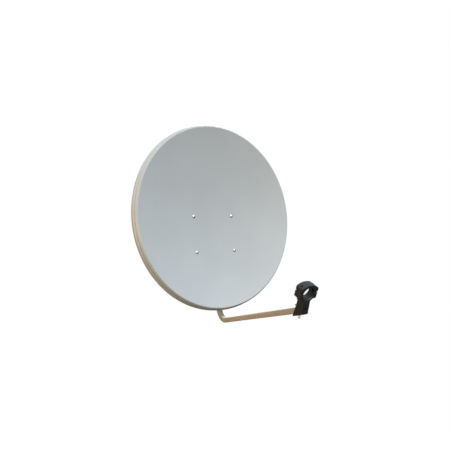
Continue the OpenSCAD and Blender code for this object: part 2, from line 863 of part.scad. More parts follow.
// Children at each elevation bolt, with Z pointing in towards the middle; X keeps to the slot
module at_elevation_bolts() {
    for (side = [-1, 1]) translate([0, lock_at.x, lock_at.y]) facing_x(-side) children();
}

lock_head_x = cheek_gap / 2 - cheek_play;
elevation_bolt_l = fixed_face - lock_head_x + large_washer[2] + large_nut_h + thread_out;

module elevation_bolts() {
    color(zinc) at_elevation_bolts() translate([0, 0, -lock_head_x])
        carriage_bolt(large_d, elevation_bolt_l, large_head_d, large_head_h, cheek_play);
}

module elevation_washers() {
    color(zinc) at_elevation_bolts() translate([0, 0, -fixed_face - large_washer[2]])
        washer(large_washer);
}

module elevation_nuts() {
    color(zinc) at_elevation_bolts() translate([0, 0, -fixed_face - large_washer[2] - large_nut_h])
        hex_nut(large_d, large_nut_af, large_nut_h);
}

// ---- Mast clamp ----

module mast_jaw() {
    color(zinc) difference() {
        rotate([0, 0, 180]) mast_shell();
        at_clamp_bolts() hole(large_hole_d, 60);
    }
}

wing_front = -clamp_gap / 2 - mount_t;
wing_rear = clamp_gap / 2 + mount_t;
clamp_travel = 24;
clamp_bolt_l = wing_rear - wing_front + large_washer[2] + large_nut_h + clamp_travel;

module clamp_bolts() {
    color(zinc) at_clamp_bolts() translate([0, 0, wing_front]) rotate([180, 0, 0])
        carriage_bolt(large_d, clamp_bolt_l, large_head_d, large_head_h, 0);
}

module clamp_washers() {
    color(zinc) at_clamp_bolts() translate([0, 0, wing_rear]) washer(large_washer);
}

module clamp_nuts() {
    color(zinc) at_clamp_bolts() translate([0, 0, wing_rear + large_washer[2]])
        hex_nut(large_d, large_nut_af, large_nut_h);
}

reflector();
reflector_bolts();
reflector_washers();
reflector_nuts();
back_bracket();
feed_arm();
arm_end_plug();
arm_bolts();
arm_spacers();
arm_washers();
arm_nuts();
lnb_holder();
lnb_cap();
cap_screws();
cap_nuts();
holder_bolt();
holder_washer();
holder_nut();
mast_bracket();
pivot_bolt();
pivot_sleeve();
pivot_washer();
pivot_nut();
elevation_bolts();
elevation_washers();
elevation_nuts();
mast_jaw();
clamp_bolts();
clamp_washers();
clamp_nuts();
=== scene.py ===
import math

import bmesh
import bpy
from mathutils import Matrix, Vector


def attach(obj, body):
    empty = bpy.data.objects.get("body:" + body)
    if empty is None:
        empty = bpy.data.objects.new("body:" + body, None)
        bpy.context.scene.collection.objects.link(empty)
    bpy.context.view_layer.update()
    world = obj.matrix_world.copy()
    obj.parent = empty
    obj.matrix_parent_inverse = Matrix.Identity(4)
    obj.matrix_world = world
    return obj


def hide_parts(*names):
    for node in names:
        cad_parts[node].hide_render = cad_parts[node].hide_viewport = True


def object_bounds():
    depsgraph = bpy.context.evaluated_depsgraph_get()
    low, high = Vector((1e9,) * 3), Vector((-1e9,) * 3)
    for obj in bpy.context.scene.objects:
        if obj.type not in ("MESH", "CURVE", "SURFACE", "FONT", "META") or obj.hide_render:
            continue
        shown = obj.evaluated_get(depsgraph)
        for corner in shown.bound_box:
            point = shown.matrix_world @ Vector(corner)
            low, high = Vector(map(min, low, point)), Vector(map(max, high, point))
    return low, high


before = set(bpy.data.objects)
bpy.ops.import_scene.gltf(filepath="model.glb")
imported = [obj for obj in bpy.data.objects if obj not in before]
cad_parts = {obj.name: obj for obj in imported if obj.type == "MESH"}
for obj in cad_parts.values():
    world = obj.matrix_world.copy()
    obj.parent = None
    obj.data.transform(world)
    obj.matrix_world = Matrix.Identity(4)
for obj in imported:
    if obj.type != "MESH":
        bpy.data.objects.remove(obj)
cad_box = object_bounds()
scene = bpy.context.scene

# ---- Camera, lights and floor ----
# A studio: a high soft window, a warm lamp on the left, a cool one in front and one behind,
# in air that is warm and dim near the floor and cool above. The dish hangs over a pale floor.

view = bpy.data.cameras.new("camera")
view.lens = 31.31
view.sensor_width = 36.0
view.clip_start = 0.01
view.clip_end = 200.0
view.shift_y = -0.0025
camera = bpy.data.objects.new("camera", view)
ahead = Vector((0.49417, 0.86851, -0.03863)).normalized()
right = ahead.cross(Vector((0.01874, 0.03378, 0.99925))).normalized()
up = right.cross(ahead)
stand = Matrix.Translation((-0.8369, -1.7467, 0.1715))
camera.matrix_world = stand @ Matrix((right, up, -ahead)).transposed().to_4x4()
scene.collection.objects.link(camera)
scene.camera = camera
scene.view_settings.view_transform = "Standard"


class Wire:
    """A socket in a node tree. Sums and products of wires add the Math nodes they need."""

    def __init__(self, socket):
        self.socket = socket

    @staticmethod
    def node(tree, kind, settings=(), sockets=(), out=0):
        new = tree.nodes.new(kind)
        for name, value in dict(settings).items():
            if name == "stops":
                marks = new.color_ramp.elements
                while len(marks) < len(value):
                    marks.new(1.0)
                for mark, (place, tone) in zip(marks, value):
                    mark.position = place
                    mark.color = tone
            elif name == "profile":
                curve = new.mapping.curves[0]
                while len(curve.points) < len(value):
                    curve.points.new(0.5, 0.5)
                for point, place in zip(curve.points, value):
                    point.location = place
                new.mapping.update()
            else:
                setattr(new, name, value)
        for name, value in dict(sockets).items():
            if isinstance(value, Wire):
                tree.links.new(value.socket, new.inputs[name])
            else:
                new.inputs[name].default_value = value
        return Wire(new.outputs[out])

    @staticmethod
    def maths(operation, *terms):
        tree = next(t for t in terms if isinstance(t, Wire)).socket.id_data
        return Wire.node(tree, "ShaderNodeMath", {"operation": operation}, dict(enumerate(terms)))

    def __add__(self, other):
        return Wire.maths("ADD", self, other)

    __radd__ = __add__

    def __sub__(self, other):
        return Wire.maths("SUBTRACT", self, other)

    def __rsub__(self, other):
        return Wire.maths("SUBTRACT", other, self)

    def __mul__(self, other):
        return Wire.maths("MULTIPLY", self, other)

    __rmul__ = __mul__

    def __truediv__(self, other):
        return Wire.maths("DIVIDE", self, other)

    def __rtruediv__(self, other):
        return Wire.maths("DIVIDE", other, self)


def spread(wire, low, high):
    """Stretches what lies between low and high to the whole range."""
    limits = {"Value": wire, "From Min": low, "From Max": high}
    return Wire.node(wire.socket.id_data, "ShaderNodeMapRange", (), limits)


room = bpy.data.worlds.new("white_room")
room.use_nodes = True
scene.world = room
air = room.node_tree
air.nodes.remove(air.nodes["Background"])
way = Wire.node(air, "ShaderNodeTexCoord", out="Generated")
upward = Wire.node(air, "ShaderNodeSeparateXYZ", (), {0: way}, out="Z")
sideways = Wire.node(air, "ShaderNodeSeparateXYZ", (), {0: way}, out="X")
tones = Wire.node(
    air, "ShaderNodeValToRGB",
    {"stops": [
        (0.0, (0.07, 0.055, 0.04, 1.0)), (0.42, (0.22, 0.19, 0.15, 1.0)),
        (0.60, (0.62, 0.64, 0.64, 1.0)), (1.0, (0.72, 0.88, 1.0, 1.0)),
    ]},
    {"Fac": spread(upward, -1.0, 1.0)},
)
warmed = Wire.node(
    air, "ShaderNodeMix", {"data_type": "RGBA", "blend_type": "MULTIPLY"},
    {0: spread(sideways, 0.0, -0.9), 6: tones, 7: (0.80, 0.58, 0.36, 1.0)}, out=2,
)
glow = Wire.node(air, "ShaderNodeBackground", (), {"Color": warmed, "Strength": 0.95})
white = (1.0, 1.0, 1.0, 1.0)
backdrop = Wire.node(air, "ShaderNodeBackground", (), {"Color": white, "Strength": 1.0})
seen_straight = Wire.node(air, "ShaderNodeLightPath", out="Is Camera Ray")
either = Wire.node(air, "ShaderNodeMixShader", (), {0: seen_straight, 1: glow, 2: backdrop})
air.links.new(either.socket, air.nodes["World Output"].inputs["Surface"])


def hung(name, light, place, aim):
    """Links a light that stands at one place and shines towards another."""
    stand = bpy.data.objects.new(name, light)
    toward = (Vector(aim) - Vector(place)).to_track_quat("-Z", "Y")
    stand.matrix_world = Matrix.Translation(place) @ toward.to_matrix().to_4x4()
    scene.collection.objects.link(stand)


def lamp(name, place, aim, size, power, colour):
    light = bpy.data.lights.new(name, "AREA")
    light.shape = "DISK"
    light.size = size
    light.energy = power
    light.color = colour
    hung(name, light, place, aim)


sky = bpy.data.lights.new("high_window", "SUN")
sky.energy = 1.85
sky.angle = math.radians(22)
sky.color = (0.92, 0.97, 1.0)
hung("high_window", sky, (0, 0, 0), (0.06, 0.50, -0.86))
lamp("warm_side_lamp", (-2.9, -0.45, -0.15), (0, -0.3, 0.0), 1.3, 34, (1.0, 0.72, 0.44))
lamp("front_lamp", (-0.6, -3.1, 0.9), (0, -0.2, 0.1), 1.4, 22, (0.96, 0.985, 1.0))
lamp("rear_lamp", (1.6, 2.6, 2.0), (0, 0, 0), 1.6, 60, (1.0, 0.99, 0.97))

floor_mesh = bpy.data.meshes.new("floor")
reach = 1.3
level = cad_box[0][2] - 0.9
corners = [(reach * x, reach * y, level) for x, y in ((-1, -1), (1, -1), (1, 1), (-1, 1))]
floor_mesh.from_pydata(corners, [], [(0, 1, 2, 3)])
floor = bpy.data.objects.new("floor", floor_mesh)
scene.collection.objects.link(floor)
floor.visible_diffuse = False
floor.visible_glossy = False
floor_paint = bpy.data.materials.new("floor_paint")
floor_paint.use_nodes = True
pale = floor_paint.node_tree.nodes["Principled BSDF"]
pale.inputs["Base Color"].default_value = (0.35, 0.35, 0.35, 1.0)
pale.inputs["Roughness"].default_value = 0.9
pale.inputs["Emission Color"].default_value = white
pale.inputs["Emission Strength"].default_value = 0.9
floor_mesh.materials.append(floor_paint)

# ---- Reflector ----
# One steel sheet pressed to an offset paraboloid, with a rolled front lip, a flared side
# wall with a groove between two beads, and a hemmed rear edge, powder coated light grey.


def shape_tree(name, sizes):
    """An empty Geometry Nodes tree with one named input for each size."""
    tree = bpy.data.node_groups.new(name, "GeometryNodeTree")
    tree.interface.new_socket("Geometry", in_out="INPUT", socket_type="NodeSocketGeometry")
    for label, kind in sizes.items():
        tree.interface.new_socket(label, in_out="INPUT", socket_type="NodeSocket" + kind)
    tree.interface.new_socket("Geometry", in_out="OUTPUT", socket_type="NodeSocketGeometry")
    entry = tree.nodes.new("NodeGroupInput")
    return tree, {s.name: Wire(s) for s in entry.outputs if s.name}


def finish_tree(tree, shape, finish):
    """Ends a tree: instances made real, and one finish all over."""
    real = Wire.node(tree, "GeometryNodeRealizeInstances", (), {"Geometry": shape})
    painted = Wire.node(
        tree, "GeometryNodeSetMaterial", (), {"Geometry": real, "Material": finish}
    )
    exit_node = tree.nodes.new("NodeGroupOutput")
    tree.links.new(painted.socket, exit_node.inputs["Geometry"])


def finished(name, rough):
    """The mesh that an object's modifiers leave; the object itself goes."""
    bpy.context.view_layer.update()
    seen = rough.evaluated_get(bpy.context.evaluated_depsgraph_get())
    mesh = bpy.data.meshes.new_from_object(seen)
    bpy.data.objects.remove(rough)
    mesh.name = name
    return mesh


def grown(name, source, tree, sizes):
    """A plain mesh from a tree: the modifier's inputs are set, then it is worked in and gone."""
    seed = bpy.data.objects.new(name + "_seed", source)
    scene.collection.objects.link(seed)
    shaper = seed.modifiers.new("shape", "NODES")
    shaper.node_group = tree
    names = {s.name: s.identifier for s in tree.interface.items_tree if s.in_out == "INPUT"}
    for label, value in sizes.items():
        shaper[names[label]] = value
    return finished(name, seed)


def worked(name, mesh, modifiers):
    """A plain object at the origin, with its modifiers worked into its mesh."""
    rough = bpy.data.objects.new(name + "_rough", mesh)
    scene.collection.objects.link(rough)
    for kind, settings in modifiers:
        tool = rough.modifiers.new(kind.lower(), kind)
        for label, value in settings.items():
            setattr(tool, label, value)
    piece = bpy.data.objects.new(name, finished(name, rough))
    scene.collection.objects.link(piece)
    return piece


def rounded_shading(mesh, angle):
    """Smooth all over, but sharp where faces meet at more than the angle, in degrees."""
    mesh.polygons.foreach_set("use_smooth", [True] * len(mesh.polygons))
    mesh.set_sharp_from_angle(angle=math.radians(angle))
    mesh.update()


def new_finish(name, metallic, roughness, **sockets):
    """A material, its tree, its shader and its Object coordinates."""
    finish = bpy.data.materials.new(name)
    finish.use_nodes = True
    tree = finish.node_tree
    shader = tree.nodes["Principled BSDF"]
    shader.inputs["Metallic"].default_value = metallic
    shader.inputs["Roughness"].default_value = roughness
    for label, value in sockets.items():
        shader.inputs[label.replace("_", " ")].default_value = value
    place = Wire.node(tree, "ShaderNodeTexCoord", out="Object")
    return finish, tree, shader, place


def mottled(tree, place, scale, detail=3.0, rough=0.5):
    return Wire.node(
        tree, "ShaderNodeTexNoise", (),
        {"Vector": place, "Scale": scale, "Detail": detail, "Roughness": rough},
    )


def between(tree, share, low, high):
    """A colour between two, by share."""
    colours = {0: share, 6: low, 7: high}
    return Wire.node(tree, "ShaderNodeMix", {"data_type": "RGBA"}, colours, out=2)


def feed(shader, label, wire):
    wire.socket.id_data.links.new(wire.socket, shader.inputs[label])


def bumped(tree, shader, height, distance, strength=1.0):
    relief = Wire.node(
        tree, "ShaderNodeBump", (), {"Strength": strength, "Distance": distance, "Height": height}
    )
    feed(shader, "Normal", relief)


def powder_coat(name, thin, thick, dust):
    """Powder coat: orange peel about 1.5 mm across, faint clouds, specks and a film of dust."""
    finish, tree, shader, place = new_finish(name, 0.0, 0.42, Specular_IOR_Level=0.5)
    clouds = spread(mottled(tree, place, 5.0, 4.0), 0.35, 0.65)
    peel = mottled(tree, place, 520.0, 2.0)
    waves = mottled(tree, place, 38.0, 1.0)
    specks = spread(mottled(tree, place, 900.0, 1.0), 0.70, 0.76)
    streaks = Wire.node(
        tree, "ShaderNodeMapping", (), {"Vector": place, "Scale": (1.0, 1.0, 0.12)}
    )
    film = spread(mottled(tree, streaks, 30.0, 5.0, 0.6), 0.48, 0.74)
    paint = between(tree, clouds, thin, thick)
    paint = between(tree, film * 0.12, paint, dust)
    paint = between(tree, specks * 0.25, paint, (0.24, 0.24, 0.23, 1.0))
    feed(shader, "Base Color", paint)
    feed(shader, "Roughness", 0.36 + clouds * 0.06 + film * 0.14 + peel * 0.06)
    bumped(tree, shader, peel * 0.2 + waves * 2.0, 0.0001, 0.4)
    return finish


# Light grey paint; the faint blue in it is painted reflection of the cool sky.
reflector_paint = powder_coat(
    "reflector_paint",
    (0.452, 0.480, 0.495, 1.0), (0.472, 0.499, 0.514, 1.0), (0.44, 0.438, 0.42, 1.0),
)

half_width = 0.370
focus = 0.450
offset = math.radians(22.3)
half_height = half_width / math.cos(offset)
sheet = 0.0008
lip = 0.004
rim_depth = 0.041
rim_flare = 0.0165
rim_relief = 0.0056
hem = 0.0013
flare = math.atan(rim_flare / rim_depth)
lean = Matrix.Rotation(math.radians(-8.5), 4, "X")
dish_frame = Matrix.Translation((0, -0.23085, 0.14291)) @ lean

pressing, size = shape_tree(
    "pressed_dish",
    {
        "Half width": "Float", "Focal length": "Float", "Lip radius": "Float", "Rim depth": "Float",
        "Rim flare": "Float", "Hem radius": "Float", "Relief": "Float", "Around": "Int",
        "Rows": "Int", "Finish": "Material",
    },
)
blank = Wire.node(
    pressing, "GeometryNodeMeshGrid", (),
    {"Size X": 1.0, "Size Y": 1.0, "Vertices X": size["Around"], "Vertices Y": size["Rows"]},
    out="Mesh",
)
where = Wire.node(pressing, "GeometryNodeInputPosition")
turn = (Wire.node(pressing, "ShaderNodeSeparateXYZ", (), {0: where}, out="X") + 0.5) * math.tau
row = Wire.node(pressing, "ShaderNodeSeparateXYZ", (), {0: where}, out="Y") + 0.5
out_from_middle = spread(row, 0.0, 0.52)
round_lip = spread(row, 0.52, 0.62)
down_wall = spread(row, 0.62, 0.92)
round_hem = spread(row, 0.92, 1.0)
cos_turn = Wire.maths("COSINE", turn)
sin_turn = Wire.maths("SINE", turn)
x = size["Half width"] * out_from_middle * cos_turn
across = size["Half width"] * out_from_middle * sin_turn
half_squared = size["Half width"] * size["Half width"]
depth = (half_squared - x * x - across * across) / (size["Focal length"] * 4)
beam = size["Focal length"] * (2 * math.tan(offset)) + size["Half width"] * sin_turn
slope_y = beam * math.sin(offset) + size["Focal length"] * (2 * math.cos(offset))
slope_z = size["Focal length"] * (2 * math.sin(offset)) - beam * math.cos(offset)
slope_x = size["Half width"] * cos_turn
steep = Wire.maths("SQRT", slope_x * slope_x + slope_y * slope_y + slope_z * slope_z)
start = Wire.maths("ARCCOSINE", slope_y / steep)
roll = start - (start + (math.pi / 2 - flare)) * round_lip
sin_start = Wire.maths("SINE", start)
cos_start = Wire.maths("COSINE", start)
lip_out = size["Lip radius"] * (sin_start + math.cos(flare))
lip_back = size["Lip radius"] * (cos_start - math.sin(flare))
relief = Wire.node(
    pressing, "ShaderNodeFloatCurve",
    {"profile": [
        (0.0, 0.5), (0.05, 0.58), (0.18, 0.94), (0.24, 0.92), (0.36, 0.34), (0.44, 0.30),
        (0.50, 0.46), (0.62, 0.96), (0.70, 0.94), (0.84, 0.52), (0.93, 0.44), (1.0, 0.5),
    ]},
    {"Value": down_wall},
)
hem_turn = round_hem * math.pi
outward = (
    size["Lip radius"] * (sin_start - Wire.maths("SINE", roll))
    + down_wall * (size["Rim flare"] - lip_out)
    + (relief - 0.5) * size["Relief"]
    - size["Hem radius"] * (1 - Wire.maths("COSINE", hem_turn))
)
back = (
    size["Lip radius"] * (cos_start - Wire.maths("COSINE", roll))
    + down_wall * (size["Rim depth"] - size["Hem radius"] - lip_back)
    + size["Hem radius"] * Wire.maths("SINE", hem_turn)
)
spot = Wire.node(
    pressing, "ShaderNodeCombineXYZ", (),
    {
        "X": x + outward * cos_turn,
        "Y": depth * math.cos(offset) + back,
        "Z": across / math.cos(offset) - depth * math.sin(offset) + outward * sin_turn,
    },
)
pressed = Wire.node(pressing, "GeometryNodeSetPosition", (), {"Geometry": blank, "Position": spot})
closed = Wire.node(
    pressing, "GeometryNodeMergeByDistance", (), {"Geometry": pressed, "Distance": 0.00001}
)
finish_tree(pressing, closed, size["Finish"])

dish_mesh = grown(
    "reflector_sheet", bpy.data.meshes.new("blank"), pressing,
    {
        "Half width": half_width, "Focal length": focus, "Lip radius": lip, "Rim depth": rim_depth,
        "Rim flare": rim_flare, "Hem radius": hem, "Relief": rim_relief, "Around": 257, "Rows": 125,
        "Finish": reflector_paint,
    },
)
dish_mesh.transform(dish_frame)
deepest = dish_frame @ Vector((0, 0.07, -0.03))
middle = min(dish_mesh.polygons, key=lambda p: (p.center - deepest).length)
if middle.normal.y > 0:
    dish_mesh.flip_normals()
reflector = worked(
    "reflector_sheet", dish_mesh,
    [("SOLIDIFY", {"thickness": sheet, "offset": -1.0, "use_even_offset": True})],
)
rounded_shading(reflector.data, 50)
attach(reflector, "dish")
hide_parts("reflector")

# ---- Reflector bolts ----
# Four M6 carriage bolts with low domed heads hold the sheet to the bracket behind, each
# with a flat washer and a hexagon nut. All are cold formed steel, zinc plated.


def zinc_plate():
    """Bright zinc plating: fine draw lines, and dull, faintly brown blooms scattered at random."""
    finish, tree, shader, place = new_finish("zinc_plate", 1.0, 0.26)
    bloom = spread(mottled(tree, place, 160.0, 4.0), 0.42, 0.66)
    grain = mottled(tree, place, 2600.0, 2.0)
    drawn = Wire.node(tree, "ShaderNodeMapping", (), {"Vector": place, "Scale": (1.0, 0.06, 1.0)})
    lines = mottled(tree, drawn, 2200.0, 2.0)
    zinc = between(tree, bloom, (0.73, 0.74, 0.75, 1.0), (0.50, 0.49, 0.46, 1.0))
    feed(shader, "Base Color", zinc)
    feed(shader, "Roughness", 0.17 + bloom * 0.22 + lines * 0.10)
    bumped(tree, shader, grain * 0.5 + lines * 0.5, 0.00003, 0.5)
    return finish


fastener_zinc = zinc_plate()


def turned(shape, outline, sides=60, flats=None):
    """Turns an outline of (radius, height) about Z. With flats, a hexagon that wide trims it."""
    rings = []
    for radius, height in outline:
        if radius == 0:
            rings.append([shape.verts.new((0, 0, height))])
            continue
        ring = []
        for i in range(sides):
            angle = math.tau * i / sides
            reach_out = radius
            if flats:
                off_middle = (angle + math.pi / 6) % (math.pi / 3) - math.pi / 6
                reach_out = min(radius, flats / 2 / math.cos(off_middle))
            spot = (reach_out * math.cos(angle), reach_out * math.sin(angle), height)
            ring.append(shape.verts.new(spot))
        rings.append(ring)
    for one, two in zip(rings, rings[1:]):
        for i in range(sides):
            j = (i + 1) % sides
            corners = [one[i % len(one)], one[j % len(one)], two[j % len(two)], two[i % len(two)]]
            shape.faces.new(list(dict.fromkeys(corners)))


def threaded(shape, width, pitch, low, high):
    """A bolt's shank from high down to low, cut with one long helical thread."""
    sides = 24
    steps = max(2, int((high - low) / pitch * 5))
    tip = 1.4 * pitch
    rings = []
    for k in range(steps + 1):
        height = low + (high - low) * k / steps
        ring = []
        for i in range(sides):
            phase = (height / pitch + i / sides) % 1.0
            cut = 0.55 * pitch * abs(2 * phase - 1)
            chamfer = max(0.0, tip - (height - low)) * 0.5
            radius = width / 2 - max(cut, chamfer)
            angle = math.tau * i / sides
            spot = (radius * math.cos(angle), radius * math.sin(angle), height)
            ring.append(shape.verts.new(spot))
        rings.append(ring)
    for one, two in zip(rings, rings[1:]):
        for i in range(sides):
            j = (i + 1) % sides
            shape.faces.new((one[i], one[j], two[j], two[i]))
    shape.faces.new(list(reversed(rings[0])))
    shape.faces.new(rings[-1])


def domed_head(shape, width, height):
    """The low dome of a carriage bolt, with a short straight edge."""
    edge = 0.12 * height
    ball = ((height - edge) ** 2 + width * width / 4) / (2 * (height - edge))
    outline = [(0, height)]
    for i in range(1, 13):
        radius = width / 2 * i / 12
        outline.append((radius, height - ball + math.sqrt(ball * ball - radius * radius)))
    outline += [(width / 2, edge * 0.4), (width / 2 - edge * 0.3, 0.0), (0, 0.0)]
    turned(shape, outline)


def hexagon(shape, flats, low, high, bore=0.0, both=False):
    """A hexagon with its corners turned off at the top, and at the foot as well if both."""
    corner = flats / 2 / math.cos(math.pi / 6)
    cut = (corner - 0.47 * flats) * math.tan(math.radians(30))
    top = [(0.47 * flats, high), (0.485 * flats, high - cut * 0.22)]
    top += [(0.47 * flats + (corner - 0.47 * flats) * k, high - cut * k) for k in (0.45, 0.7, 1.0)]
    foot = [(r, low + high - z) for r, z in reversed(top)] if both else [(corner, low)]
    outline = top + foot
    if bore:
        outline = [(bore + 0.0005, high), *outline, (bore + 0.0005, low)]
        outline += [(bore, low + 0.0005), (bore, high - 0.0005), (bore + 0.0005, high)]
    else:
        outline = [(0, high), *outline, (0, low)]
    turned(shape, outline, flats=flats)


def flat_washer(shape, bore, width, thick):
    """A stamped washer that stands on Z = 0, its four edges softened."""
    soft = 0.15 * thick
    turned(shape, [
        (bore / 2, thick - soft), (bore / 2 + soft, thick), (width / 2 - soft, thick),
        (width / 2, thick - soft), (width / 2, soft), (width / 2 - soft, 0),
        (bore / 2 + soft, 0), (bore / 2, soft), (bore / 2, thick - soft),
    ])


def template(name, build):
    """One fastener at the origin, its head up, that the sets below are copied from."""
    shape = bmesh.new()
    build(shape)
    bmesh.ops.remove_doubles(shape, verts=shape.verts, dist=0.000002)
    bmesh.ops.recalc_face_normals(shape, faces=shape.faces)
    mesh = bpy.data.meshes.new(name)
    shape.to_mesh(mesh)
    shape.free()
    return bpy.data.objects.new(name, mesh)


def seats_of(node):
    """For each solid of a CAD node: its top, the way up its axis, and its length along it.
    The axis is the face direction that the corners lie most evenly round, and the top is
    the end where the solid is widest."""
    shape = bmesh.new()
    shape.from_mesh(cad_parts[node].data)
    bmesh.ops.remove_doubles(shape, verts=shape.verts, dist=0.000001)
    shape.verts.index_update()
    shape.faces.index_update()
    seen = set()
    seats = []
    for first in shape.verts:
        if first.index in seen:
            continue
        seen.add(first.index)
        group = [first]
        for vert in group:
            for edge in vert.link_edges:
                other = edge.other_vert(vert)
                if other.index not in seen:
                    seen.add(other.index)
                    group.append(other)
        facings = {}
        for face in sorted({f for v in group for f in v.link_faces}, key=lambda f: f.index):
            facing = face.normal if face.normal.dot((0.3, 0.5, 1)) > 0 else -face.normal
            key = tuple(round(c, 2) for c in facing)
            facings[key] = facings.get(key, 0) + face.calc_area()
        middle = sum((v.co for v in group), Vector()) / len(group)
        best = None
        for key in sorted(facings, key=facings.get, reverse=True)[:12]:
            axis = Vector(key).normalized()
            off = [(v.co - middle) - axis * (v.co - middle).dot(axis) for v in group]
            side = axis.orthogonal().normalized()
            other_side = axis.cross(side)
            one = sum(o.dot(side) ** 2 for o in off)
            two = sum(o.dot(other_side) ** 2 for o in off)
            cross = sum(o.dot(side) * o.dot(other_side) for o in off)
            drift = sum(off, Vector()).length / (sum(o.length_squared for o in off) + 1)
            uneven = (abs(one - two) + 2 * abs(cross)) / (one + two) + drift
            if best is None or uneven < best[0] - 1e-3:
                best = (uneven, axis)
        axis = best[1]
        along = [(v.co - middle).dot(axis) for v in group]
        low, high = min(along), max(along)

        def width_at(level):
            near = [v.co - middle for v in group
                    if abs((v.co - middle).dot(axis) - level) < 0.3 * (high - low)]
            return max((o - axis * o.dot(axis)).length for o in near)

        if width_at(low) > width_at(high) + 1e-5:
            axis, low, high = -axis, -high, -low
        seats.append((middle + axis * high, axis, high - low))
    shape.free()
    return seats


fixing, size = shape_tree(
    "fasteners_in_place",
    {"Fastener": "Object", "Finish": "Material", "Loose turn": "Float", "Seed": "Int"},
)
facing = Wire.node(
    fixing, "GeometryNodeInputNamedAttribute", {"data_type": "FLOAT_VECTOR"}, {"Name": "facing"}
)
lined_up = Wire.node(
    fixing, "FunctionNodeAlignRotationToVector", {"axis": "Z"}, {"Vector": facing}
)
chance = Wire.node(
    fixing, "FunctionNodeRandomValue", {"data_type": "FLOAT"}, {"Seed": size["Seed"]}, out=1
)
own_turn = Wire.node(
    fixing, "FunctionNodeAxisAngleToRotation", (),
    {"Axis": (0, 0, 1), "Angle": chance * size["Loose turn"]},
)
set_right = Wire.node(
    fixing, "FunctionNodeRotateRotation", {"rotation_space": "LOCAL"},
    {"Rotation": lined_up, "Rotate By": own_turn},
)
one_of_them = Wire.node(
    fixing, "GeometryNodeObjectInfo", (), {"Object": size["Fastener"]}, out="Geometry"
)
places = Wire.node(fixing, "GeometryNodeMeshToPoints", (), {"Mesh": size["Geometry"]})
copies = Wire.node(
    fixing, "GeometryNodeInstanceOnPoints", (),
    {"Points": places, "Instance": one_of_them, "Rotation": set_right},
)
finish_tree(fixing, copies, size["Finish"])


def fasteners(name, node, body, build, seed=1):
    """Puts one fastener on each seat of a CAD node, and lets the set stand for the node.
    Each is turned about its axis by up to a sixth of a turn."""
    seats = seats_of(node)
    spots = bpy.data.meshes.new(name + "_spots")
    spots.from_pydata([tuple(top) for top, axis, length in seats], [], [])
    facing_way = spots.attributes.new("facing", "FLOAT_VECTOR", "POINT")
    for mark, (top, axis, length) in zip(facing_way.data, seats):
        mark.vector = axis
    one = template(name + "_one", lambda shape: build(shape, seats[0][2]))
    scene.collection.objects.link(one)
    mesh = grown(
        name, spots, fixing,
        {"Fastener": one, "Finish": fastener_zinc, "Loose turn": 1.047, "Seed": seed},
    )
    bpy.data.objects.remove(one)
    piece = bpy.data.objects.new(name, mesh)
    scene.collection.objects.link(piece)
    rounded_shading(mesh, 32)
    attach(piece, body)
    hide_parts(node)


def carriage(width, pitch, head_w, head_h):
    def build(shape, length):
        domed_head(shape, head_w, head_h)
        threaded(shape, width, pitch, head_h - length, 0.0)
        bmesh.ops.translate(shape, verts=shape.verts, vec=(0, 0, -head_h))
    return build


def hex_head(width, pitch, flats, head_h):
    def build(shape, length):
        hexagon(shape, flats, 0.0, head_h)
        threaded(shape, width, pitch, head_h - length, 0.0)
        bmesh.ops.translate(shape, verts=shape.verts, vec=(0, 0, -head_h))
    return build


def nut(width, flats):
    def build(shape, length):
        hexagon(shape, flats, -length, 0.0, bore=width / 2, both=True)
    return build


def washer_of(bore, width):
    def build(shape, length):
        flat_washer(shape, bore, width, length)
        bmesh.ops.translate(shape, verts=shape.verts, vec=(0, 0, -length))
    return build


m6 = 0.006
m6_pitch = 0.001
m6_flats = 0.0099
m6_washer = washer_of(bore=0.0064, width=0.012)
m6_carriage = carriage(m6, m6_pitch, head_w=0.015, head_h=0.0036)
fasteners("dish_bolt_set", "reflector_bolts", "dish", m6_carriage)
fasteners("dish_washer_set", "reflector_washers", "dish", m6_washer)
fasteners("dish_nut_set", "reflector_nuts", "dish", nut(m6, m6_flats), seed=3)

# ---- Back bracket ----
# A galvanised steel pressing: a windowed plate with four cups for the reflector bolts and
# two upright cheeks, with the pivot hole and the curved elevation slot in each.


def galvanised():
    """Hot dip zinc: crystal flakes some 8 mm across, each with its own tone and gloss."""
    finish, tree, shader, place = new_finish("galvanised_steel", 1.0, 0.42)
    bent = Wire.node(
        tree, "ShaderNodeVectorMath", {"operation": "MULTIPLY_ADD"},
        {0: Wire.node(tree, "ShaderNodeTexNoise", (), {"Vector": place, "Scale": 90.0}, out=1),
         1: (0.006, 0.006, 0.006), 2: place},
    )
    flake = Wire.node(
        tree, "ShaderNodeTexVoronoi", (), {"Vector": bent, "Scale": 120.0}, out="Color"
    )
    tone = Wire.node(tree, "ShaderNodeSeparateXYZ", (), {0: flake}, out="X")
    gloss = Wire.node(tree, "ShaderNodeSeparateXYZ", (), {0: flake}, out="Y")
    bloom = spread(mottled(tree, place, 14.0, 5.0), 0.40, 0.70)
    steel = between(tree, tone, (0.50, 0.52, 0.54, 1.0), (0.68, 0.69, 0.70, 1.0))
    feed(shader, "Base Color", between(tree, bloom * 0.5, steel, (0.60, 0.60, 0.58, 1.0)))
    feed(shader, "Roughness", 0.30 + gloss * 0.16 + bloom * 0.14)
    bumped(tree, shader, tone * 0.4 + mottled(tree, place, 700.0, 2.0), 0.00004, 0.5)
    return finish


sheet_zinc = galvanised()


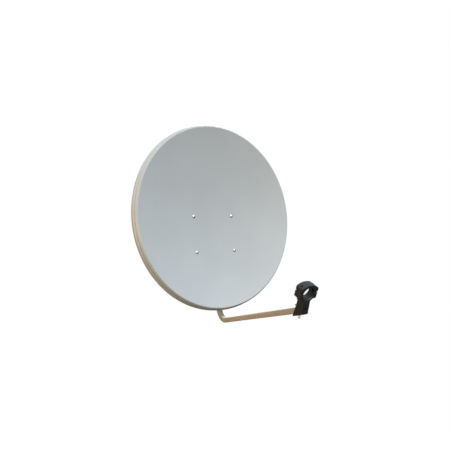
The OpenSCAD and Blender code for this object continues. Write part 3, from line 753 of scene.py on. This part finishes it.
def from_cad(name, node, body, finish, edge):
    """A copy of a CAD solid, joined up, with its edges broken as a press or a file leaves them."""
    shape = bmesh.new()
    shape.from_mesh(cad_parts[node].data)
    bmesh.ops.remove_doubles(shape, verts=shape.verts, dist=0.000002)
    bmesh.ops.dissolve_limit(
        shape, angle_limit=math.radians(0.6), verts=shape.verts, edges=shape.edges
    )
    mesh = bpy.data.meshes.new(name)
    shape.to_mesh(mesh)
    shape.free()
    piece = worked(name, mesh, [
        ("BEVEL", {
            "width": edge, "segments": 2, "limit_method": "ANGLE",
            "angle_limit": math.radians(38), "miter_outer": "MITER_ARC",
        }),
    ])
    piece.data.materials.clear()
    piece.data.materials.append(finish)
    rounded_shading(piece.data, 34)
    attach(piece, body)
    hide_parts(node)


from_cad("bracket_pressing", "back_bracket", "dish", sheet_zinc, edge=0.0005)

# ---- Feed arm ----
# A 20 mm square steel tube, bent once under the dish and powder coated. Its beige is the
# reflector's grey paint made darker and warmer: painted warm side light and shade. Two M6 bolts
# with spacer tubes hold it between the cheeks, and a plastic plug closes its upper end.

# Painted warm side light and shade: the reflector's grey paint made darker and warmer.
arm_paint = powder_coat(
    "arm_paint", (0.40, 0.345, 0.27, 1.0), (0.43, 0.37, 0.29, 1.0), (0.32, 0.27, 0.21, 1.0)
)
arm_side = 0.020
arm_wall = 0.0015
arm_edge = 0.003
arm_bend = 0.050
arm_lean = math.radians(28)
arm_rise = math.radians(9.2)
arm_behind = 0.045
arm_below = 0.0635
rear_length = 0.300
front_length = 0.558
arm_corner = Vector((0, arm_behind, -half_height - arm_below))
arm_rear = arm_corner + rear_length * Vector((0, math.sin(arm_lean), math.cos(arm_lean)))
arm_front = arm_corner + front_length * Vector((0, -math.cos(arm_rise), math.sin(arm_rise)))

bending, size = shape_tree(
    "bent_square_tube",
    {"Side": "Float", "Corner radius": "Float", "Bend radius": "Float", "Finish": "Material"},
)
route = Wire.node(bending, "GeometryNodeMeshToCurve", (), {"Mesh": size["Geometry"]})
smooth_route = Wire.node(
    bending, "GeometryNodeFilletCurve", {"mode": "POLY"},
    {"Curve": route, "Count": 32, "Radius": size["Bend radius"]},
)
square = Wire.node(
    bending, "GeometryNodeCurvePrimitiveQuadrilateral", (),
    {"Width": size["Side"], "Height": size["Side"]},
)
outline = Wire.node(
    bending, "GeometryNodeFilletCurve", {"mode": "POLY"},
    {"Curve": square, "Count": 7, "Radius": size["Corner radius"]},
)
tube = Wire.node(
    bending, "GeometryNodeCurveToMesh", (), {"Curve": smooth_route, "Profile Curve": outline}
)
finish_tree(bending, tube, size["Finish"])

arm_line = bpy.data.meshes.new("arm_line")
arm_line.from_pydata([arm_rear, arm_corner, arm_front], [(0, 1), (1, 2)], [])
tube_mesh = grown(
    "arm_tube", arm_line, bending,
    {"Side": arm_side, "Corner radius": arm_edge, "Bend radius": arm_bend, "Finish": arm_paint},
)
tube_mesh.transform(dish_frame)
right_side = min(
    tube_mesh.polygons,
    key=lambda p: abs(p.center.x - arm_side / 2) + abs(p.normal.y) + abs(p.normal.z),
)
if right_side.normal.x < 0:
    tube_mesh.flip_normals()
arm = worked(
    "arm_tube", tube_mesh,
    [("SOLIDIFY", {"thickness": arm_wall, "offset": -1.0, "use_even_offset": True})],
)
rounded_shading(arm.data, 40)
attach(arm, "dish")
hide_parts("feed_arm")


def moulded_plastic():
    """Black glass filled nylon: a fine spark grain, faint flow marks and a soft gloss.
    The faint blue in its black is painted bluish reflection.
    """
    finish, tree, shader, place = new_finish("black_nylon", 0.0, 0.36, Specular_IOR_Level=0.55)
    flow = spread(mottled(tree, place, 26.0, 4.0), 0.38, 0.68)
    grain = mottled(tree, place, 1500.0, 3.0, 0.6)
    # The blue tint in these two blacks is painted bluish reflection.
    nylon = between(tree, flow, (0.010, 0.012, 0.016, 1.0), (0.016, 0.019, 0.025, 1.0))
    feed(shader, "Base Color", nylon)
    feed(shader, "Roughness", 0.30 + flow * 0.10 + grain * 0.12)
    bumped(tree, shader, grain + flow * 0.5, 0.00006, 0.6)
    return finish


black_nylon = moulded_plastic()
from_cad("arm_plug", "arm_end_plug", "dish", black_nylon, edge=0.0006)
m6_hex = hex_head(m6, m6_pitch, m6_flats, head_h=0.0042)
fasteners("arm_bolt_set", "arm_bolts", "dish", m6_hex, seed=5)
from_cad("arm_spacer_set", "arm_spacers", "dish", fastener_zinc, edge=0.0003)
fasteners("arm_washer_set", "arm_washers", "dish", m6_washer)
fasteners("arm_nut_set", "arm_nuts", "dish", nut(m6, m6_flats), seed=7)

# ---- LNB holder ----
# Two mouldings of black nylon: the holder, whose socket takes the arm's front end, and the
# cap over it. Two M5 screws close the collar on the neck, and one M6 bolt locks the socket.


def moulded(name, node, body, grain):
    """A copy of a CAD solid with the small round of a mould on every edge, inside and out."""
    shape = bmesh.new()
    shape.from_mesh(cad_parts[node].data)
    bmesh.ops.remove_doubles(shape, verts=shape.verts, dist=0.000002)
    mesh = bpy.data.meshes.new(name)
    shape.to_mesh(mesh)
    shape.free()
    piece = worked(name, mesh, [
        ("REMESH", {"mode": "VOXEL", "voxel_size": grain, "use_smooth_shade": True}),
        ("SMOOTH", {"factor": 0.5, "iterations": 7}),
    ])
    piece.data.materials.clear()
    piece.data.materials.append(black_nylon)
    piece.data.polygons.foreach_set("use_smooth", [True] * len(piece.data.polygons))
    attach(piece, body)
    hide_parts(node)


moulded("holder_moulding", "lnb_holder", "dish", grain=0.00078)
moulded("cap_moulding", "lnb_cap", "lnb_cap", grain=0.0006)
m5 = 0.005
m5_flats = 0.008
m5_hex = hex_head(m5, 0.0008, m5_flats, head_h=0.003)
fasteners("cap_screw_set", "cap_screws", "lnb_cap", m5_hex, seed=2)
fasteners("cap_nut_set", "cap_nuts", "dish", nut(m5, m5_flats), seed=4)
fasteners("holder_bolt_piece", "holder_bolt", "dish", m6_hex, seed=6)
fasteners("holder_washer_piece", "holder_washer", "dish", m6_washer)
fasteners("holder_nut_piece", "holder_nut", "dish", nut(m6, m6_flats), seed=8)

# ---- Mast bracket and elevation lock ----
# A half shell of 3 mm galvanised steel with wings and two fixed cheeks. The dish hangs on an
# M8 pivot bolt through a spacer tube, and two M8 bolts in the curved slots lock its angle.

m8 = 0.008
m8_pitch = 0.00125
m8_flats = 0.0128
m8_washer = washer_of(bore=0.0084, width=0.016)
m8_carriage = carriage(m8, m8_pitch, head_w=0.0176, head_h=0.0044)
m8_hex = hex_head(m8, m8_pitch, m8_flats, head_h=0.0052)
from_cad("mast_pressing", "mast_bracket", "mast_mount", sheet_zinc, edge=0.0006)
fasteners("pivot_bolt_piece", "pivot_bolt", "mast_mount", m8_hex, seed=9)
from_cad("pivot_tube_piece", "pivot_sleeve", "dish", fastener_zinc, edge=0.0003)
fasteners("pivot_washer_piece", "pivot_washer", "mast_mount", m8_washer)
fasteners("pivot_nut_piece", "pivot_nut", "mast_mount", nut(m8, m8_flats), seed=10)
fasteners("lock_bolt_set", "elevation_bolts", "mast_mount", m8_carriage)
fasteners("lock_washer_set", "elevation_washers", "mast_mount", m8_washer)
fasteners("lock_nut_set", "elevation_nuts", "mast_mount", nut(m8, m8_flats), seed=11)

# ---- Mast clamp ----
# The second half shell closes on the mast from behind, drawn up by four long M8 carriage
# bolts with washers and nuts.

from_cad("jaw_pressing", "mast_jaw", "mast_jaw", sheet_zinc, edge=0.0006)
fasteners("clamp_bolt_set", "clamp_bolts", "mast_mount", m8_carriage)
fasteners("clamp_washer_set", "clamp_washers", "mast_jaw", m8_washer)
fasteners("clamp_nut_set", "clamp_nuts", "mast_jaw", nut(m8, m8_flats), seed=12)
